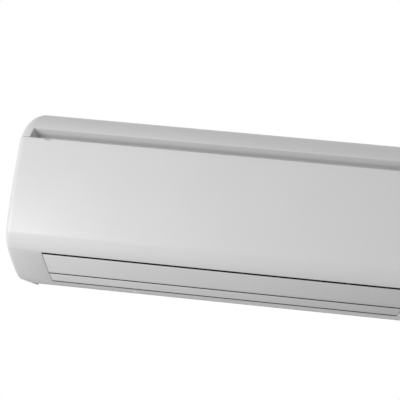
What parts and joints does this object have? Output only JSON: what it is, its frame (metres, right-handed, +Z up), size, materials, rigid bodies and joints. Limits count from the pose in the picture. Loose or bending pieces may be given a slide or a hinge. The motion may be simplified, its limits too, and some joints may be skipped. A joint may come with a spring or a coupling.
{
  "type": "mini split indoor unit",
  "caption": "Wall-mounted indoor unit of a split air conditioner: white casing, hinged front panel, swinging outlet flaps.",
  "frame": {"origin": "middle of the mounting plate's back face, on the wall", "axes": "+X to the right seen from the front, +Y into the wall, +Z up"},
  "size_m": [0.8, 0.2146, 0.2948],
  "materials": {
    "white_plastic": "satin",
    "panel_plastic": "satin gloss",
    "inner_plastic": "matte",
    "dark_plastic": "matte",
    "filter_plastic": "matte",
    "plate_steel": "zinc plated",
    "shaft_steel": "ground",
    "fin_aluminium": "satin",
    "copper": "drawn copper tube",
    "brass": "machined",
    "rubber": "matte",
    "board_green": "solder resist",
    "smoked_window": "gloss"
  },
  "bodies": {
    "unit": {"mounting_plate": "plate_steel", "rear_chassis": "inner_plastic", "pipe_channel": "inner_plastic", "front_grille": "white_plastic", "top_cover": "white_plastic", "recess_back": "white_plastic", "hinge_rail": "white_plastic", "panel_cradle_left": "white_plastic", "panel_cradle_right": "white_plastic", "side_cover_left": "white_plastic", "side_cover_right": "white_plastic", "top_intake_grille": "white_plastic", "evaporator_front": "fin_aluminium", "evaporator_rear": "fin_aluminium", "fan_bush": "rubber", "fan_bearing": "brass", "fan_motor": "plate_steel", "motor_clamp": "plate_steel", "drain_pan": "inner_plastic", "flap_motor": "plate_steel", "gas_pipe": "copper", "liquid_pipe": "copper", "gas_flare_nut": "brass", "liquid_flare_nut": "brass", "drain_spigot": "inner_plastic", "drain_plug": "rubber", "control_box": "inner_plastic", "control_box_cover": "plate_steel", "circuit_board": "board_green", "terminal_block": "dark_plastic", "receiver_window": "smoked_window", "room_sensor": "dark_plastic", "casing_screw_1": "shaft_steel", "casing_screw_2": "shaft_steel"},
    "front_panel": {"front_panel": "panel_plastic", "panel_trim": "panel_plastic", "panel_end_left": "panel_plastic", "panel_end_right": "panel_plastic"},
    "filter_left": {"filter_left": "filter_plastic"},
    "filter_right": {"filter_right": "filter_plastic"},
    "fan": {"fan_rotor": "dark_plastic", "fan_shaft": "shaft_steel"},
    "upper_flap": {"upper_flap": "white_plastic", "upper_flap_crank": "dark_plastic"},
    "lower_flap": {"lower_flap": "white_plastic", "lower_flap_crank": "dark_plastic"},
    "flap_link": {"flap_link": "dark_plastic"},
    "power_button": {"power_button": "white_plastic"},
    "vane_left_1": {"vane_left_1": "white_plastic"},
    "vane_left_2": {"vane_left_2": "white_plastic"},
    "vane_left_3": {"vane_left_3": "white_plastic"},
    "vane_left_4": {"vane_left_4": "white_plastic"},
    "vane_left_5": {"vane_left_5": "white_plastic"},
    "vane_rod_left": {"vane_rod_left": "dark_plastic"},
    "vane_right_1": {"vane_right_1": "white_plastic"},
    "vane_right_2": {"vane_right_2": "white_plastic"},
    "vane_right_3": {"vane_right_3": "white_plastic"},
    "vane_right_4": {"vane_right_4": "white_plastic"},
    "vane_right_5": {"vane_right_5": "white_plastic"},
    "vane_rod_right": {"vane_rod_right": "dark_plastic"}
  },
  "joints": [
    {"name": "panel_hinge", "type": "hinge", "parent": "unit", "child": "front_panel", "pos_m": [0, -0.1903, 0.0724], "axis": [-1, 0, 0], "range_deg": [0, 60]},
    {"name": "filter_left_slide", "type": "hinge", "parent": "unit", "child": "filter_left", "pos_m": [-0.209, -0.0865, -0.012], "axis": [-1, 0, 0], "range_deg": [0, 10]},
    {"name": "filter_right_slide", "type": "hinge", "parent": "unit", "child": "filter_right", "pos_m": [0.115, -0.0865, -0.012], "axis": [-1, 0, 0], "range_deg": [0, 10]},
    {"name": "fan_spin", "type": "hinge", "parent": "unit", "child": "fan", "pos_m": [0, -0.095, -0.042], "axis": [1, 0, 0], "continuous": true},
    {"name": "upper_flap_swing", "type": "hinge", "parent": "unit", "child": "upper_flap", "pos_m": [0, -0.1604, -0.1199], "axis": [1, 0, 0], "range_deg": [0, 75]},
    {"name": "lower_flap_swing", "type": "hinge", "parent": "unit", "child": "lower_flap", "pos_m": [0, -0.1216, -0.1448], "axis": [1, 0, 0], "range_deg": [0, 75]},
    {"name": "flap_link_pivot", "type": "hinge", "parent": "upper_flap", "child": "flap_link", "pos_m": [-0.3516, -0.14892, -0.11639], "axis": [1, 0, 0], "range_deg": [-75, 0]},
    {"name": "vane_left_1_swing", "type": "hinge", "parent": "unit", "child": "vane_left_1", "pos_m": [-0.3125, -0.11946, -0.09456], "axis": [0, -0.766, 0.6428], "range_deg": [-30, 30]},
    {"name": "vane_left_2_swing", "type": "hinge", "parent": "unit", "child": "vane_left_2", "pos_m": [-0.2535, -0.11946, -0.09456], "axis": [0, -0.766, 0.6428], "range_deg": [-30, 30]},
    {"name": "vane_left_3_swing", "type": "hinge", "parent": "unit", "child": "vane_left_3", "pos_m": [-0.1945, -0.11946, -0.09456], "axis": [0, -0.766, 0.6428], "range_deg": [-30, 30]},
    {"name": "vane_left_4_swing", "type": "hinge", "parent": "unit", "child": "vane_left_4", "pos_m": [-0.1355, -0.11946, -0.09456], "axis": [0, -0.766, 0.6428], "range_deg": [-30, 30]},
    {"name": "vane_left_5_swing", "type": "hinge", "parent": "unit", "child": "vane_left_5", "pos_m": [-0.0765, -0.11946, -0.09456], "axis": [0, -0.766, 0.6428], "range_deg": [-30, 30]},
    {"name": "vane_rod_left_pivot", "type": "hinge", "parent": "vane_left_1", "child": "vane_rod_left", "pos_m": [-0.3125, -0.1572, -0.07856], "axis": [0, -0.766, 0.6428], "range_deg": [-30, 30]},
    {"name": "vane_right_1_swing", "type": "hinge", "parent": "unit", "child": "vane_right_1", "pos_m": [-0.0175, -0.11946, -0.09456], "axis": [0, -0.766, 0.6428], "range_deg": [-30, 30]},
    {"name": "vane_right_2_swing", "type": "hinge", "parent": "unit", "child": "vane_right_2", "pos_m": [0.0415, -0.11946, -0.09456], "axis": [0, -0.766, 0.6428], "range_deg": [-30, 30]},
    {"name": "vane_right_3_swing", "type": "hinge", "parent": "unit", "child": "vane_right_3", "pos_m": [0.1005, -0.11946, -0.09456], "axis": [0, -0.766, 0.6428], "range_deg": [-30, 30]},
    {"name": "vane_right_4_swing", "type": "hinge", "parent": "unit", "child": "vane_right_4", "pos_m": [0.1595, -0.11946, -0.09456], "axis": [0, -0.766, 0.6428], "range_deg": [-30, 30]},
    {"name": "vane_right_5_swing", "type": "hinge", "parent": "unit", "child": "vane_right_5", "pos_m": [0.2185, -0.11946, -0.09456], "axis": [0, -0.766, 0.6428], "range_deg": [-30, 30]},
    {"name": "vane_rod_right_pivot", "type": "hinge", "parent": "vane_right_1", "child": "vane_rod_right", "pos_m": [-0.0175, -0.1572, -0.07856], "axis": [0, -0.766, 0.6428], "range_deg": [-30, 30]},
    {"name": "power_button_press", "type": "slide", "parent": "unit", "child": "power_button", "axis": [0, 1, 0], "range_m": [0, 0.0015], "stiffness_N_per_m": 300}
  ],
  "couplings": [
    {"joint": "lower_flap_swing", "follows": "upper_flap_swing", "ratio": 1},
    {"joint": "flap_link_pivot", "follows": "upper_flap_swing", "ratio": -1},
    {"joint": "vane_left_2_swing", "follows": "vane_left_1_swing", "ratio": 1},
    {"joint": "vane_left_3_swing", "follows": "vane_left_1_swing", "ratio": 1},
    {"joint": "vane_left_4_swing", "follows": "vane_left_1_swing", "ratio": 1},
    {"joint": "vane_left_5_swing", "follows": "vane_left_1_swing", "ratio": 1},
    {"joint": "vane_rod_left_pivot", "follows": "vane_left_1_swing", "ratio": -1},
    {"joint": "vane_right_2_swing", "follows": "vane_right_1_swing", "ratio": 1},
    {"joint": "vane_right_3_swing", "follows": "vane_right_1_swing", "ratio": 1},
    {"joint": "vane_right_4_swing", "follows": "vane_right_1_swing", "ratio": 1},
    {"joint": "vane_right_5_swing", "follows": "vane_right_1_swing", "ratio": 1},
    {"joint": "vane_rod_right_pivot", "follows": "vane_right_1_swing", "ratio": -1}
  ]
}
